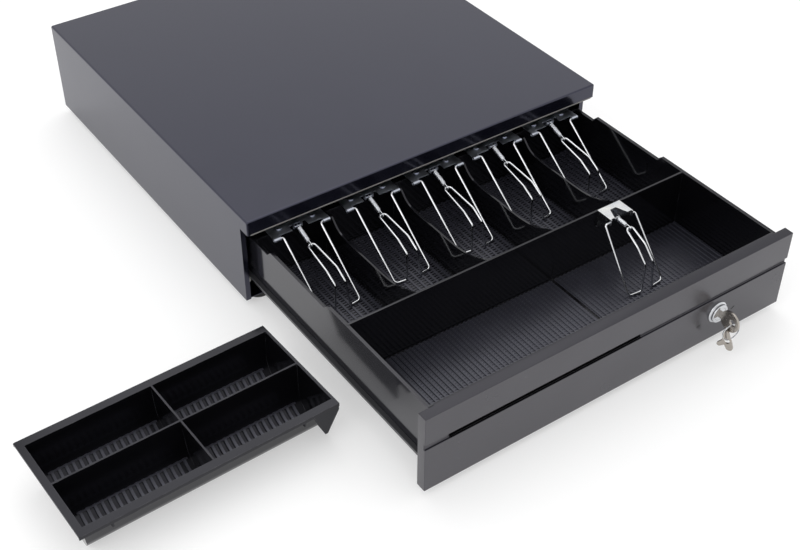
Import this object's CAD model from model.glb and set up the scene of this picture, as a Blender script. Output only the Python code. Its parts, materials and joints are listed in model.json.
"""Looks of a cash drawer: a black steel case with the drawer pulled out to the front, a till
insert with sprung clips over its bays, and a loose coin tray to the left of the drawer.

The case's front faces -Y, its right is +X and +Z is up. Places given to place() are in mm in the
CAD's measuring frame: x = 0 mid case, y = 0 the case's front edges, z = 0 the sheet's underside.
"""
import json
import math

import bpy
import bmesh
import numpy as np
from mathutils import Matrix, Vector


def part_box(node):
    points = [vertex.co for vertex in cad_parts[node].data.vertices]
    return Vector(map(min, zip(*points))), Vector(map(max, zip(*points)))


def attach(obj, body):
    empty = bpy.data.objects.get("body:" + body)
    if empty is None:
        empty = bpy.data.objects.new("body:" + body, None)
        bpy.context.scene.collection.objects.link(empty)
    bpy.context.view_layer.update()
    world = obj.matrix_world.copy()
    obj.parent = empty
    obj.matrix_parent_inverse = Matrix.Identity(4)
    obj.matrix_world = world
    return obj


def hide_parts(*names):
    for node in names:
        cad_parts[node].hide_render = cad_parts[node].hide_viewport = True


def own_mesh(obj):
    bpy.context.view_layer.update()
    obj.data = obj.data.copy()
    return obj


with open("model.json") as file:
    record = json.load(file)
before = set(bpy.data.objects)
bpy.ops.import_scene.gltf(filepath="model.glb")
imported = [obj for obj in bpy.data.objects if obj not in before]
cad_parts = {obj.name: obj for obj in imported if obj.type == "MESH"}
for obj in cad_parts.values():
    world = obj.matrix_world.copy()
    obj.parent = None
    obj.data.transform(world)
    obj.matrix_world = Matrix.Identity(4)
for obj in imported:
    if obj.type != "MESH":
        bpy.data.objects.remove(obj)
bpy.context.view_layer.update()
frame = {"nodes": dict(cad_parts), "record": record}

NODES = frame["nodes"]
RECORD = frame["record"]

CASE_DEPTH = 0.414
case_lo, case_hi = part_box("case_cover")
feet_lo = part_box("rubber_feet")[0]
CASE_MID_X = (case_lo.x + case_hi.x) / 2
CASE_FRONT_Y = case_hi.y - CASE_DEPTH
SHEET_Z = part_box("base_pan")[0].z


def place(x, y, z):
    """World point of a place in the measuring frame, given in mm."""
    return Vector((CASE_MID_X + x / 1000.0, CASE_FRONT_Y + y / 1000.0, SHEET_Z + z / 1000.0))


# ------------------------------------------------------------------ shader node helpers
def add_node(tree, kind, inputs=None, **settings):
    """Add a shader node; each input is given a value, or a socket to link from."""
    node = tree.nodes.new("ShaderNode" + kind)
    for key, value in settings.items():
        setattr(node, key, value)
    for key, value in (inputs or {}).items():
        if isinstance(value, bpy.types.NodeSocket):
            tree.links.new(value, node.inputs[key])
        else:
            node.inputs[key].default_value = value
    return node


def remap(tree, value, low, high, to_low=0.0, to_high=1.0):
    return add_node(tree, "MapRange", {"Value": value, "From Min": low, "From Max": high,
                                       "To Min": to_low, "To Max": to_high}).outputs[0]


def multiply(tree, first, second):
    return add_node(tree, "Math", {0: first, 1: second}, operation="MULTIPLY").outputs[0]


def mix_color(tree, factor, first, second):
    # a Mix node's colour inputs are numbers 6 and 7, its colour output is number 2
    return add_node(tree, "Mix", {0: factor, 6: first, 7: second}, data_type="RGBA").outputs[2]


# ------------------------------------------------------------------ materials
def make_material(name, color, rough, bump, rough_var=0.06, rough_scale=22.0, metallic=0.0,
                  ior=1.5, spec=0.5, spec_tint=(1, 1, 1), coat=0.0, color_var=0.12,
                  color_scale=14.0, tint=None, speck=0.0, wear=0.0, wear_color=(0.12, 0.12, 0.13),
                  grain=900.0, bump_mm=0.05, wave=0.0, wave_scale=9.0, stretch=(1, 1, 1)):
    """Principled material with mottled colour, uneven roughness and fine grain.

    color_var, rough_var: spread either side of color and rough; tint: colour of the light mottles
    speck, wear: strength of light specks and of rubbed edges, 0 for none
    grain, bump, bump_mm: scale, strength and depth of the grain; wave: slow waviness
    stretch: scale of all the noises along x, y and z
    """
    material = bpy.data.materials.new(name)
    material.use_nodes = True
    tree = material.node_tree
    tree.nodes.clear()
    output = add_node(tree, "OutputMaterial")
    shader = add_node(tree, "BsdfPrincipled", {
        "Metallic": metallic, "IOR": ior, "Specular IOR Level": spec,
        "Specular Tint": (*spec_tint, 1)})
    tree.links.new(shader.outputs[0], output.inputs[0])
    if coat:
        shader.inputs["Coat Weight"].default_value = coat
        shader.inputs["Coat Roughness"].default_value = 0.08
    coords = add_node(tree, "TexCoord").outputs["Object"]
    mapped = add_node(tree, "Mapping", {"Vector": coords, "Scale": stretch}).outputs[0]

    def noise(scale, detail):
        return add_node(tree, "TexNoise", {"Vector": mapped, "Scale": scale, "Detail": detail,
                                           "Roughness": 0.55}).outputs["Fac"]

    dark = [c * (1 - color_var) for c in color]
    light = [min(1.0, c * (1 + color_var)) for c in (tint or color)]
    mottle = remap(tree, noise(color_scale, detail=4.0), low=0.3, high=0.7)
    surface = mix_color(tree, mottle, (*dark, 1), (*light, 1))
    if speck:
        specks = remap(tree, noise(260.0, detail=2.0), low=0.66, high=0.74)
        speck_color = [min(1, c * 2.2 + 0.01) for c in color]
        surface = mix_color(tree, multiply(tree, specks, speck), surface, (*speck_color, 1))
    if wear:
        # an edge is where the normal rounded over 0.7 mm leaves the true one
        normal = add_node(tree, "NewGeometry").outputs["Normal"]
        rounded = add_node(tree, "Bevel", {"Radius": 0.0007}, samples=4).outputs[0]
        match = add_node(tree, "VectorMath", {0: rounded, 1: normal}, operation="DOT_PRODUCT")
        edges = remap(tree, match.outputs["Value"], low=0.97, high=0.80)
        patches = remap(tree, noise(70.0, detail=3.0), low=0.40, high=0.62)
        rubbed = multiply(tree, multiply(tree, edges, patches), wear)
        surface = mix_color(tree, rubbed, surface, (*wear_color, 1))
    tree.links.new(surface, shader.inputs["Base Color"])
    roughness = remap(tree, noise(rough_scale, detail=5.0), low=0.3, high=0.7,
                      to_low=max(0.02, rough - rough_var), to_high=min(1.0, rough + rough_var))
    tree.links.new(roughness, shader.inputs["Roughness"])
    relief_normal = add_node(tree, "Bump", {
        "Strength": bump, "Distance": bump_mm / 1000.0,
        "Height": noise(grain, detail=3.0)}).outputs[0]
    if wave:
        relief_normal = add_node(tree, "Bump", {
            "Strength": wave, "Distance": 0.001, "Height": noise(wave_scale, detail=1.0),
            "Normal": relief_normal}).outputs[0]
    tree.links.new(relief_normal, shader.inputs["Normal"])
    return material


PAINT = dict(color_var=0.10, grain=1500, bump_mm=0.03, wear=0.3)
MOULDED = dict(color_var=0.2, grain=1200, bump_mm=0.02, wave=0.02)

FINISHES = {
    "case_black": dict(
        PAINT, color=(0.0045, 0.0047, 0.0085), rough=0.15, rough_var=0.03, bump=0.08,
        wave=0.012, wave_scale=9.0, speck=0.2, ior=1.69, spec_tint=(0.73, 0.74, 1.0)),
    "panel_black": dict(
        PAINT, color=(0.0270, 0.0260, 0.0310), rough=0.24, rough_var=0.04, bump=0.14,
        wave=0.012, wave_scale=11.0, speck=0.25, ior=1.66, spec_tint=(0.95, 0.93, 1.0)),
    "tray_black": dict(
        PAINT, color=(0.0105, 0.0105, 0.0135), rough=0.10, rough_var=0.03, bump=0.07,
        wave=0.015, wave_scale=11.0, speck=0.2, ior=1.60, spec_tint=(0.93, 0.92, 1.0)),
    "runner_grey": dict(
        color=(0.05, 0.05, 0.055), rough=0.3, metallic=0.4, grain=600, bump=0.12,
        stretch=(4, 1, 4)),
    "till_plastic": dict(
        MOULDED, color=(0.0026, 0.0026, 0.0034), rough=0.10, rough_var=0.03, bump=0.06,
        wave_scale=14.0, wear=0.55, wear_color=(0.10, 0.10, 0.11), spec_tint=(0.92, 0.92, 1.0)),
    "till_texture": dict(
        color=(0.0120, 0.0120, 0.0180), rough=0.38, rough_var=0.05, color_var=0.15,
        color_scale=60, grain=1500, bump=0.25, bump_mm=0.03, ior=1.72,
        spec_tint=(0.86, 0.87, 1.0)),
    "bracket_zinc": dict(
        color=(0.52, 0.55, 0.62), rough=0.42, metallic=1.0, rough_var=0.1, color_scale=60,
        rough_scale=90, grain=1800, bump=0.2, bump_mm=0.03),
    "coin_plastic": dict(
        MOULDED, color=(0.0030, 0.0030, 0.0038), rough=0.16, rough_var=0.04, bump=0.08,
        wave_scale=18.0, spec=0.36, wear=0.8, wear_color=(0.11, 0.11, 0.12),
        spec_tint=(0.88, 0.88, 1.0)),
    "zinc": dict(
        color=(0.60, 0.62, 0.66), tint=(0.64, 0.64, 0.62), rough=0.24, metallic=1.0,
        rough_var=0.08, color_var=0.10, color_scale=60, rough_scale=90, grain=1800, bump=0.12,
        bump_mm=0.02),
    "wire": dict(
        color=(0.70, 0.71, 0.73), rough=0.13, metallic=1.0, rough_var=0.05, color_var=0.08,
        color_scale=80, rough_scale=160, grain=2500, bump=0.10, bump_mm=0.01,
        stretch=(1, 0.25, 0.25)),
    "spring_steel": dict(
        color=(0.82, 0.84, 0.87), rough=0.28, metallic=1.0, color_scale=150, rough_scale=200,
        grain=2500, bump=0.10, bump_mm=0.01),
    "chrome": dict(
        color=(0.60, 0.61, 0.63), rough=0.08, metallic=1.0, rough_var=0.03, color_var=0.06,
        color_scale=60, rough_scale=150, grain=2500, bump=0.05, bump_mm=0.01),
    "key_nickel": dict(
        color=(0.42, 0.39, 0.355), rough=0.22, metallic=1.0, rough_var=0.08, color_var=0.10,
        color_scale=120, rough_scale=200, grain=1400, bump=0.2, bump_mm=0.02,
        stretch=(1, 1, 4)),
    "rubber": dict(
        color=(0.018, 0.018, 0.018), rough=0.75, rough_var=0.08, color_var=0.2, grain=700,
        bump=0.35, bump_mm=0.08, speck=0.4),
    "nylon": dict(color=(0.50, 0.50, 0.47), rough=0.45, color_var=0.08, grain=800, bump=0.1),
    "dark_plastic": dict(color=(0.025, 0.025, 0.027), rough=0.42, color_var=0.15, bump=0.2),
    "copper_wire": dict(
        color=(0.45, 0.17, 0.07), rough=0.25, color_var=0.2, color_scale=60, bump=0.08,
        coat=0.5),
    "screw_black": dict(color=(0.03, 0.03, 0.033), rough=0.4, metallic=0.6, bump=0.15),
    "label_blank": dict(
        color=(0.55, 0.55, 0.53), rough=0.45, metallic=0.2, color_var=0.06, grain=1200,
        bump=0.08),
    "slot_dark": dict(
        color=(0.0020, 0.0020, 0.0024), rough=0.8, rough_var=0.1, color_var=0.3, bump=0.3,
        spec=0.05),
    "rolled_edge": dict(
        color=(0.16, 0.155, 0.15), rough=0.3, rough_var=0.08, color_var=0.2, color_scale=60,
        grain=1500, bump=0.1),
    "mark_white": dict(
        color=(0.004, 0.004, 0.004), rough=0.6, color_var=0.2, grain=1200, bump=0.1),
}
MATERIALS = {name: make_material(name, **finish) for name, finish in FINISHES.items()}


def dull_upward_faces(material):
    """Give the front panel's top flange less paint and shine than its face."""
    tree = material.node_tree
    shader = next(n for n in tree.nodes if n.type == "BSDF_PRINCIPLED")
    normal = add_node(tree, "NewGeometry").outputs["Normal"]
    upward = add_node(tree, "SeparateXYZ", {0: normal}).outputs["Z"]
    shine = remap(tree, upward, low=0.75, high=0.95, to_low=0.5, to_high=0.27)
    tree.links.new(shine, shader.inputs["Specular IOR Level"])
    darkening = remap(tree, upward, low=0.75, high=0.95, to_low=0.0, to_high=0.75)
    paint = shader.inputs["Base Color"].links[0].from_socket
    darkened = mix_color(tree, darkening, paint, (0.004, 0.0042, 0.009, 1))
    tree.links.new(darkened, shader.inputs["Base Color"])


dull_upward_faces(MATERIALS["panel_black"])

# ------------------------------------------------------------------ CAD nodes: finish and edges
subparts = RECORD.get("subparts", [])
# the record may hold its subparts in another form, which names no slots
NODE_SLOTS = {s["node"]: s["material_slot"] for s in subparts} if isinstance(subparts, list) else {}
FINISH_OVERRIDES = {"clip_brackets_rear": "bracket_zinc", "bracket_rivets": "bracket_zinc",
                    "media_chute": "slot_dark"}

# bevel widths in mm
DEFAULT_BEVEL = 0.2
BEVELS = {
    "case_cover": 0.5, "front_panel": 0.55, "till_insert": 0.35, "coin_tray": 0.35,
    "base_pan": 0.25, "drawer_tray": 0.25, "rear_panel": 0.3, "rubber_feet": 0.8,
    "lock_body": 0.3, "lock_cylinder": 0.15, "key": 0.3, "spare_key": 0.3,
    "clip_bracket_front": 0.22, "bracket_rivets": 0.4, "drive_socket": 0.25,
    "rear_panel_screws": 0.4, "foot_screws": 0.3,
}
WIRE_NODES = {"clip_wire_%d" % i for i in range(1, 7)} | {"drive_lead", "key_ring"}


def node_finish(name):
    """Finish from the record, else from the node's own materials, else the case's."""
    if name in NODE_SLOTS:
        return NODE_SLOTS[name]
    for material in NODES[name].data.materials:
        if material and material.name.split(".")[0] in MATERIALS:
            return material.name.split(".")[0]
    return "case_black"


def smooth_all(mesh):
    mesh.polygons.foreach_set("use_smooth", np.ones(len(mesh.polygons), bool))


def soften_edges(node, width):
    """Smooth shading with bevelled edges, or with split ones where the width is 0."""
    mesh = node.data
    smooth_all(mesh)
    if "custom_normal" in mesh.attributes:
        mesh.attributes.remove(mesh.attributes["custom_normal"])
    node.modifiers.new("weld", "WELD").merge_threshold = 2e-6
    if width:
        bevel = node.modifiers.new("bevel", "BEVEL")
        bevel.width = width / 1000.0
        bevel.segments = 2
        bevel.limit_method = "ANGLE"
        bevel.angle_limit = math.radians(34)
        bevel.use_clamp_overlap = True
        bevel.harden_normals = False
        normals = node.modifiers.new("wn", "WEIGHTED_NORMAL")
        normals.keep_sharp = False
        normals.weight = 50
        normals.mode = "FACE_AREA_WITH_ANGLE"
    else:
        split = node.modifiers.new("split", "EDGE_SPLIT")
        split.split_angle = math.radians(38)
        split.use_edge_angle = True
        split.use_edge_sharp = False


for name, node in NODES.items():
    finish = FINISH_OVERRIDES.get(name) or node_finish(name)
    node.data.materials.clear()
    node.data.materials.append(MATERIALS[finish])
    soften_edges(node, 0 if name in WIRE_NODES else BEVELS.get(name, DEFAULT_BEVEL))


# ------------------------------------------------------------------ mesh helpers
def link_object(name, data):
    obj = bpy.data.objects.new(name, data)
    bpy.context.scene.collection.objects.link(obj)
    return obj


def add_mesh(name, verts, faces, slot, body, smooth=False, finish=None):
    """Mesh object that moves with a body; its finish is its slot's unless another is named."""
    mesh = bpy.data.meshes.new(name)
    mesh.from_pydata([tuple(v) for v in verts], [], faces)
    mesh.validate()
    edit = bmesh.new()
    edit.from_mesh(mesh)
    bmesh.ops.recalc_face_normals(edit, faces=edit.faces)
    edit.to_mesh(mesh)
    edit.free()
    if smooth:
        smooth_all(mesh)
    obj = link_object(name, mesh)
    mesh.materials.append(MATERIALS[finish or slot])
    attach(obj, body)
    return obj


def add_tube(name, path, radius, sides, slot, body, finish=None):
    """Round wire along a path, in metres, with an untwisted section and low conical ends."""
    centres = [np.array(p, float) for p in path]
    last = len(centres) - 1
    tangents = []
    for i in range(last + 1):
        along = centres[min(i + 1, last)] - centres[max(i - 1, 0)]
        tangents.append(along / (np.linalg.norm(along) + 1e-12))
    start = np.array([0.0, 0, 1]) if abs(tangents[0][2]) < 0.9 else np.array([1.0, 0, 0])
    across = np.cross(tangents[0], start)
    across /= np.linalg.norm(across)
    verts, faces = [], []
    for i, (centre, tangent) in enumerate(zip(centres, tangents)):
        if i:
            across = across - tangent * (across @ tangent)
            across /= np.linalg.norm(across)
        other = np.cross(tangent, across)
        for k in range(sides):
            angle = 2 * math.pi * k / sides
            verts.append(centre + radius * (math.cos(angle) * across + math.sin(angle) * other))
    for i in range(last):
        a, b = i * sides, (i + 1) * sides
        for k in range(sides):
            after = (k + 1) % sides
            faces.append((a + k, a + after, b + after, b + k))
    for i, sign in ((0, -1), (last, 1)):
        verts.append(centres[i] + sign * tangents[i] * radius * 0.35)
        for k in range(sides):
            faces.append((i * sides + k, i * sides + (k + 1) % sides, len(verts) - 1))
    return add_mesh(name, verts, faces, slot, body, smooth=True, finish=finish)


# ------------------------------------------------------------------ raised ribs
RIB_SKIN_DEPTH = 0.4


def spaced(low, high, pitch):
    """Centres of equal steps, as near the pitch as fills the range."""
    count = max(1, int(round((high - low) / pitch)))
    step = (high - low) / count
    return [low + step * (k + 0.5) for k in range(count)]


def ridge(centre, half_crest, flank, height=1.0):
    """Stations (position, 0..1 height) of one ridge with a flat crest and sloped flanks."""
    return [(centre - half_crest - flank, 0.0), (centre - half_crest, height),
            (centre + half_crest, height), (centre + half_crest + flank, 0.0)]


def ridge_row(low, high, pitch, crest, flank):
    stations = [(low, 0.0)]
    for centre in spaced(low, high, pitch):
        stations += ridge(centre, crest / 2, flank)
    return stations + [(high, 0.0)]


def add_ribs(name, rows, columns, point, row_height, column_height, valley, slot, body):
    """Closed ribbed skin over a grid of stations; its sides run down into the part.

    point(u, v, h) gives the surface at height h; valley is its level between the ribs.
    """
    nu, nv = len(rows), len(columns)
    verts, faces = [], []
    for u, u_share in rows:
        for v, v_share in columns:
            height = max(row_height * u_share, column_height * v_share) or valley
            verts.append(point(u, v, height))
    for i in range(nu - 1):
        for j in range(nv - 1):
            faces.append((i * nv + j, (i + 1) * nv + j, (i + 1) * nv + j + 1, i * nv + j + 1))
    rim = [(i, 0) for i in range(nu)]
    rim += [(nu - 1, j) for j in range(1, nv)]
    rim += [(i, nv - 1) for i in range(nu - 2, -1, -1)]
    rim += [(0, j) for j in range(nv - 2, 0, -1)]
    # the underside lies inside the part and keeps the skin closed
    inner = [(i, j) for i in range(1, nu - 1) for j in range(1, nv - 1)]
    under = {}
    for i, j in rim + inner:
        under[(i, j)] = len(verts)
        verts.append(point(rows[i][0], columns[j][0], -RIB_SKIN_DEPTH))
    for a, b in zip(rim, rim[1:] + rim[:1]):
        faces.append((a[0] * nv + a[1], under[a], under[b], b[0] * nv + b[1]))
    for i in range(nu - 1):
        for j in range(nv - 1):
            faces.append((under[(i, j)], under[(i, j + 1)],
                          under[(i + 1, j + 1)], under[(i + 1, j)]))
    add_mesh(name, verts, faces, slot, body, finish="till_texture")


# ------------------------------------------------------------------ ribbed floors of the till
TILL_FLOOR_Z = 22.0
FRONT_Y = (-272.2, -160.6)
BILL_Y = (-157.0, -4.0)
BILL_WALLS_X = [-193.6, -115.6, -37.2, 38.4, 114.8, 193.6]
WALL_GAP = 2.0
FRONT_RIBS = dict(pitch=5.0, height=0.95, crest=1.9, valley=0.04)
BILL_RIBS = dict(pitch=6.5, height=0.9, crest=2.2, valley=-0.08)


def floor_ribs(name, x_range, y_range, pitch, height, crest, valley):
    """Tall ribs from front to back, crossed by low, close ones from side to side."""
    add_ribs(name, ridge_row(*x_range, pitch=pitch, crest=crest, flank=0.45),
             ridge_row(*y_range, pitch=3.3, crest=1.3, flank=0.35),
             lambda x, y, h: place(x, y, TILL_FLOOR_Z + h),
             row_height=height, column_height=0.5, valley=valley,
             slot="till_plastic", body="drawer")


floor_ribs("till_floor_ribs_front_left", (-192.0, 32.0), FRONT_Y, **FRONT_RIBS)
floor_ribs("till_floor_ribs_front_right", (35.2, 192.0), FRONT_Y, **FRONT_RIBS)
for k, (left, right) in enumerate(zip(BILL_WALLS_X, BILL_WALLS_X[1:])):
    floor_ribs("till_floor_ribs_bill_%d" % (k + 1), (left + WALL_GAP, right - WALL_GAP),
               BILL_Y, **BILL_RIBS)

# ------------------------------------------------------------------ ribbed cups of the coin tray
# u runs along the tray, v across it, from its front left corner
COIN_CORNER = (-460.6, -199.8)
COIN_Z = -7.25
COIN_TURN = math.radians(1.8)
CUPS_U = (6.4, 236.7 - 2.6)
CUPS_V = (8.0, 119.0 - 8.0)
DIVIDER_U = 121.0
DIVIDER_V = 61.2
DIVIDER_HALF = 0.8
CUP_R = 21.0
CUP_AXIS_Z = CUP_R + 2.0
END_GAP = 10.5
DIVIDER_GAP = 4.0
CUP_EDGE_ANGLE = 52.0   # degrees either side of the cup's lowest line
RIB_ANGLE = CUP_EDGE_ANGLE - 3


def coin_point(u, v, z):
    x = COIN_CORNER[0] + u * math.cos(COIN_TURN) - v * math.sin(COIN_TURN)
    y = COIN_CORNER[1] + u * math.sin(COIN_TURN) + v * math.cos(COIN_TURN)
    return place(x, y, COIN_Z + z)


def cup_ribs(name, axis_v, u_range):
    """Hoops round a cup's bottom, crossed by a low rib along its middle and one by each edge."""
    angles = [(-CUP_EDGE_ANGLE, 0.0)]
    for centre in (-RIB_ANGLE, 0, RIB_ANGLE):
        half_crest, height = (1.6, 1.0) if centre else (0.9, 0.4)
        angles += ridge(centre, half_crest, 0.8, height)
        if centre < RIB_ANGLE:
            angles += [(centre + RIB_ANGLE * q / 6, 0.0) for q in range(1, 6)]
    angles.append((CUP_EDGE_ANGLE, 0.0))

    def point(u, degrees, h):
        radius = CUP_R - h
        angle = math.radians(degrees)
        return coin_point(u, axis_v + radius * math.sin(angle),
                          CUP_AXIS_Z - radius * math.cos(angle))

    add_ribs(name, ridge_row(*u_range, pitch=6.3, crest=2.5, flank=0.25), angles, point,
             row_height=1.7, column_height=1.7, valley=-0.08,
             slot="coin_plastic", body="coin_tray")


cup_axes = ((CUPS_V[0] + DIVIDER_V - DIVIDER_HALF) / 2, (CUPS_V[1] + DIVIDER_V + DIVIDER_HALF) / 2)
cup_spans = ((CUPS_U[0] + END_GAP, DIVIDER_U - DIVIDER_GAP),
             (DIVIDER_U + DIVIDER_GAP, CUPS_U[1] - END_GAP))
cups = [(axis_v, span) for axis_v in cup_axes for span in cup_spans]
for k, (axis_v, span) in enumerate(cups):
    cup_ribs("coin_cup_ribs_%d" % (k + 1), axis_v, span)

# ------------------------------------------------------------------ clip springs
CLIP_WIRE_R = 0.43
HOOK_R, COIL_R, EYE_R = 1.42, 1.92, 1.8
# x of a spring, then (y, z) of its rear pin and of its front end
CLIP_SPRINGS = [(x, (-9.5, 71.5), (-31.5, 64.0)) for x in (-150.5, -71.5, 4.5, 77.5, 151.5)]
CLIP_SPRINGS.append((96.0, (-172.5, 76.0), (-189.0, 75.0)))


def clip_spring(number, spring_x, rear, front):
    """Close-wound spring, laid out along -y from its rear pin and then tilted into place."""
    dy, dz = front[0] - rear[0], front[1] - rear[1]
    length = math.hypot(dy, dz)
    tilt = math.atan2(-dz, -dy)
    cos_tilt, sin_tilt = math.cos(tilt), math.sin(tilt)
    path = []
    for k in range(19):
        angle = math.radians(-150 + 300 * k / 18)
        path.append((0.0, HOOK_R * math.cos(angle), HOOK_R * math.sin(angle)))
    coil_start, coil_end = -2.1, -length + 4.3
    steps = int(round((coil_start - coil_end) / (2 * CLIP_WIRE_R))) * 14
    for k in range(steps + 1):
        angle = 2 * math.pi * k / 14
        path.append((COIL_R * math.sin(angle), coil_start + (coil_end - coil_start) * k / steps,
                     COIL_R * math.cos(angle)))
    path.append((0.0, -length + 3.6, 1.75))
    for k in range(13):
        angle = math.radians(90 + 180 * k / 12)
        path.append((0.0, -length - 0.75 + EYE_R * math.cos(angle), EYE_R * math.sin(angle)))
    path.append((0.0, -length + 3.4, -1.75))
    placed = [place(spring_x + x, rear[0] + cos_tilt * y - sin_tilt * z,
                    rear[1] + sin_tilt * y + cos_tilt * z) for x, y, z in path]
    spring = add_tube("wound_spring_%d" % number, placed, CLIP_WIRE_R / 1000, 8,
                      "spring_steel", "spring_%d" % number)
    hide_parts("clip_spring_%d" % number)


for k, (spring_x, rear, front) in enumerate(CLIP_SPRINGS):
    clip_spring(k + 1, spring_x, rear, front)


# ------------------------------------------------------------------ latch and ejector springs
def middle(lo, hi):
    return [(a + b) / 2 for a, b in zip(lo, hi)]


def open_spring(name, cad_name, axis, turns, flat_steps, inset):
    """Open spring in a CAD spring's box, along y (axis 1) or z (axis 2), with flat end turns."""
    lo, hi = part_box(cad_name)
    centre = middle(lo, hi)
    side = 3 - axis
    radius = (hi.x - lo.x) / 2 - inset
    steps = 24 * turns
    path = []
    for k in range(steps + 1):
        angle = 2 * math.pi * k / 24
        share = min(1, max(0, (k - flat_steps) / (steps - 2 * flat_steps)))
        point = [centre[0] + radius * math.cos(angle), 0.0, 0.0]
        point[side] = centre[side] + radius * math.sin(angle)
        point[axis] = lo[axis] + 0.0005 + (hi[axis] - lo[axis] - 0.001) * share
        path.append(point)
    spring = add_tube(name, path, 0.00045, 8, "spring_steel", "case")
    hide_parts(cad_name)
    return spring


latch_spring = open_spring("latch_spring_wound", "latch_return_spring", axis=2, turns=3,
                           flat_steps=12, inset=0.0006)
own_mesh(latch_spring)
open_spring("ejector_spring_wound", "ejector_spring", axis=1, turns=5, flat_steps=16,
            inset=0.00055)


# ------------------------------------------------------------------ key ring and solenoid
def split_ring():
    """Two close turns of wire in an upright plane."""
    lo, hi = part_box("key_ring")
    centre = (lo + hi) / 2
    radius = (hi.z - lo.z) / 2 - 0.00075
    heading = math.radians(-10)
    level = Vector((math.cos(heading), math.sin(heading), 0))
    normal = Vector((-level.y, level.x, 0))
    path = []
    for k in range(2 * 56 + 1):
        angle = 2 * math.pi * (k / 56.0) + math.radians(200)
        offset = 0.00072 * (k / 112.0 - 0.5)
        path.append(centre + level * (radius * math.cos(angle))
                    + Vector((0, 0, 1)) * (radius * math.sin(angle)) + normal * offset)
    ring = add_tube("split_ring", path, 0.00041, 10, "chrome", "hanging_key")
    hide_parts("key_ring")


def solenoid_winding():
    wire_r, end_gap = 0.0004, 0.0016
    lo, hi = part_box("solenoid_coil")
    x, y, _ = middle(lo, hi)
    radius = (hi.x - lo.x) / 2 - 0.00015
    bottom, top = lo.z + end_gap, hi.z - end_gap
    steps = int((top - bottom) / (2 * wire_r)) * 36
    path = []
    for k in range(steps + 1):
        angle = 2 * math.pi * k / 36
        path.append((x + radius * math.cos(angle), y + radius * math.sin(angle),
                     bottom + (top - bottom) * k / steps))
    add_tube("solenoid_winding", path, wire_r, 6, "copper_wire", "case")


split_ring()
solenoid_winding()


# ------------------------------------------------------------------ hem of the case's front lip
def lip_hem():
    """Rolled edge along the lip's lower edge, turned back at both ends."""
    bend_r, bend_in = 0.003, 0.0045
    side_in = bend_in - bend_r
    coords = np.array([v.co for v in NODES["case_cover"].data.vertices])
    lip = coords[coords[:, 1] < case_lo.y + 0.0006]
    left, right = lip[:, 0].min(), lip[:, 0].max()
    z = lip[:, 2].min() + 0.0001
    bend_y, side_y, end_y = (case_lo.y + back for back in (0.0032, 0.0045, 0.0155))

    def bend(x, start):
        angles = [math.radians(start + 90 * k / 6) for k in range(7)]
        return [(x + bend_r * math.cos(a), bend_y + bend_r * math.sin(a), z) for a in angles]

    path = [(left + side_in, end_y, z), (left + side_in, side_y, z)]
    path += bend(left + bend_in, 180)
    path += [(left + bend_in + (right - left - 2 * bend_in) * k / 60, case_lo.y + 0.0002, z)
             for k in range(1, 60)]
    path += bend(right - bend_in, 270)
    path += [(right - side_in, side_y, z), (right - side_in, end_y, z)]
    add_tube("lip_hem", path, 0.0008, 10, "case_black", "case", finish="rolled_edge")


lip_hem()


# ------------------------------------------------------------------ small flat details
def rounded_plate(name, centre, across, up, width, height, corner, thick, body, finish):
    """Thin plate, sized in mm, with round corners and a soft top edge; it faces across x up."""
    across, up = Vector(across).normalized(), Vector(up).normalized()
    normal = across.cross(up)
    outline = []
    for sx, sy, start in ((1, 1, 0), (-1, 1, 90), (-1, -1, 180), (1, -1, 270)):
        for k in range(7):
            angle = math.radians(start + 15 * k)
            outline.append((sx * (width / 2 - corner) + corner * math.cos(angle),
                            sy * (height / 2 - corner) + corner * math.sin(angle)))
    soft = min(thick * 0.6, corner * 0.5)
    # (inset, height) of each ring
    rings = ((0.0, 0.0), (0.0, thick - soft), (soft * 0.3, thick - soft * 0.3), (soft, thick))
    verts, faces = [], []
    for inset, h in rings:
        for x, y in outline:
            s = 1 - inset / max(math.hypot(x, y), 1e-6)
            verts.append(Vector(centre) + (across * (x * s) + up * (y * s) + normal * h) / 1000.0)
    n = len(outline)
    for r in range(len(rings) - 1):
        for k in range(n):
            after = (k + 1) % n
            faces.append((r * n + k, r * n + after, (r + 1) * n + after, (r + 1) * n + k))
    faces.append(tuple(range(n)))
    faces.append(tuple(range((len(rings) - 1) * n, len(rings) * n)))
    add_mesh(name, verts, faces, "panel_black", body, finish=finish)


PANEL_FACE_Y = -287.2
# name, then (x, z) of the mark's two ends
LOCK_MARKS = (("lock_mark_right", (138.3, 25.1), (142.4, 27.4)),
              ("lock_mark_left", (95.2, 24.3), (99.7, 26.3)))
for name, (xa, za), (xb, zb) in LOCK_MARKS:
    along = Vector((xb - xa, 0, zb - za))
    rounded_plate(name, place((xa + xb) / 2, PANEL_FACE_Y, (za + zb) / 2),
                  along, (-along.z, 0, along.x), width=along.length, height=1.1,
                  corner=0.5, thick=0.12, body="drawer", finish="mark_white")

# (y, z) round the felt's stepped section
FELT_SECTION = [(-287.05, 49.15), (-285.35, 49.15), (-285.35, 50.22), (-283.9, 50.22),
                (-283.9, 50.02), (-285.15, 50.02), (-285.15, 48.95), (-287.05, 48.95)]
FELT_LEFT, FELT_LENGTH = -179.9, 204.8


def slot_felt():
    """Dark felt edge along the bottom of the slot and of the groove in front of it."""
    verts = [place(FELT_LEFT + FELT_LENGTH * k / 24, y, z)
             for k in range(25) for y, z in FELT_SECTION]
    faces = [(i * 8 + j, (i + 1) * 8 + j, (i + 1) * 8 + (j + 1) % 8, i * 8 + (j + 1) % 8)
             for i in range(24) for j in range(8)]
    for end in (0, 24):
        for quad in ((0, 1, 6, 7), (1, 2, 5, 6), (2, 3, 4, 5)):
            faces.append(tuple(end * 8 + j for j in quad))
    add_mesh("slot_felt", verts, faces, "panel_black", "drawer", finish="slot_dark")


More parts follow.
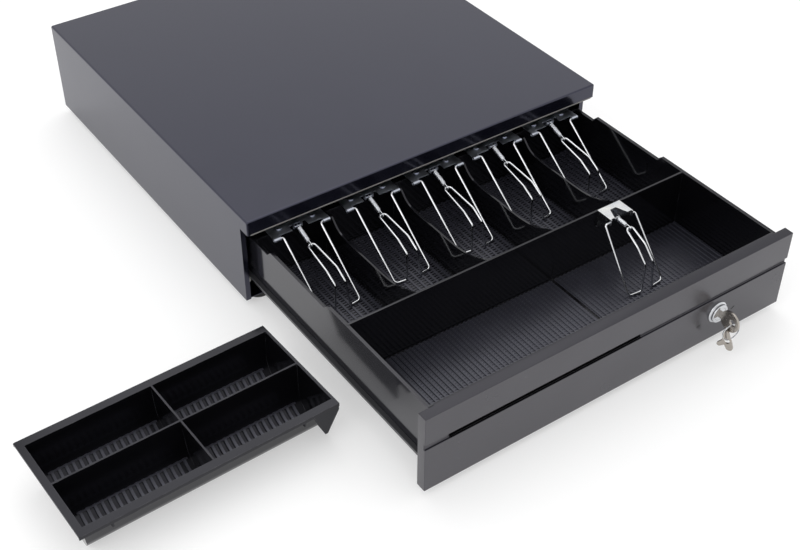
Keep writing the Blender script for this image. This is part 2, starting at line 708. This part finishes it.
slot_felt()
rear_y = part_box("rear_panel")[1].y
rounded_plate("rear_label", Vector((CASE_MID_X - 0.045, rear_y, SHEET_Z + 0.060)),
              (-1, 0, 0), (0, 0, 1), width=62.0, height=34.0, corner=2.0, thick=0.15,
              body="case", finish="label_blank")


# ------------------------------------------------------------------ stage, light, camera
def add_floor():
    half = 6
    mesh = bpy.data.meshes.new("floor")
    mesh.from_pydata([(-half, -half, 0), (half, -half, 0), (half, half, 0), (-half, half, 0)],
                     [], [(0, 1, 2, 3)])
    floor = link_object("floor", mesh)
    floor.location.z = feet_lo.z - 0.0002
    paper = bpy.data.materials.new("floor_paper")
    paper.use_nodes = True
    tree = paper.node_tree
    shader = tree.nodes["Principled BSDF"]
    shader.inputs["Roughness"].default_value = 0.9
    shader.inputs["Emission Color"].default_value = (1, 1, 1, 1)
    shader.inputs["Emission Strength"].default_value = 0.42
    clouds = add_node(tree, "TexNoise", {"Scale": 3.0}).outputs["Fac"]
    grey = remap(tree, clouds, low=0.0, high=1.0, to_low=0.575, to_high=0.585)
    tree.links.new(grey, shader.inputs["Base Color"])
    mesh.materials.append(paper)


def add_world():
    world = bpy.data.worlds.new("studio")
    bpy.context.scene.world = world
    world.use_nodes = True
    background = world.node_tree.nodes["Background"]
    background.inputs["Color"].default_value = (1.0, 1.0, 1.0, 1)
    background.inputs["Strength"].default_value = 1.0
    bpy.context.scene.view_settings.view_transform = "Standard"


def add_softbox(name, location, size, power):
    """Square area light aimed at the drawer."""
    light = bpy.data.lights.new(name, "AREA")
    light.shape = "RECTANGLE"
    light.size = light.size_y = size
    light.energy = power
    obj = link_object(name, light)
    obj.location = location
    aim = Vector((0, -0.1, 0)) - Vector(location)
    obj.rotation_euler = aim.to_track_quat("-Z", "Y").to_euler()


def add_camera(location, azimuth, elevation, roll):
    """Camera in front, to the left and above; its angles are in degrees."""
    data = bpy.data.cameras.new("camera")
    data.lens = 59.33
    data.sensor_width = 36
    data.clip_start = 0.05
    data.clip_end = 50
    camera = link_object("camera", data)
    az, el, turn = (math.radians(angle) for angle in (azimuth, elevation, roll))
    back = Vector((math.sin(az) * math.cos(el), -math.cos(az) * math.cos(el), math.sin(el)))
    level = Vector((math.cos(az), math.sin(az), 0))
    upright = back.cross(level)
    right = math.cos(turn) * level + math.sin(turn) * upright
    up = -math.sin(turn) * level + math.cos(turn) * upright
    pose = Matrix((right, up, back)).transposed().to_4x4()
    pose.translation = Vector(location)
    camera.matrix_world = pose
    bpy.context.scene.camera = camera


add_floor()
add_world()
add_softbox("softbox_left", location=(-2.2, -0.8, 1.8), size=1.6, power=12)
add_softbox("softbox_top", location=(0.6, 0.9, 2.6), size=2.0, power=12)
add_camera(location=(-0.6252, -1.0587, 0.8269), azimuth=-35.028, elevation=39.998, roll=0.208)
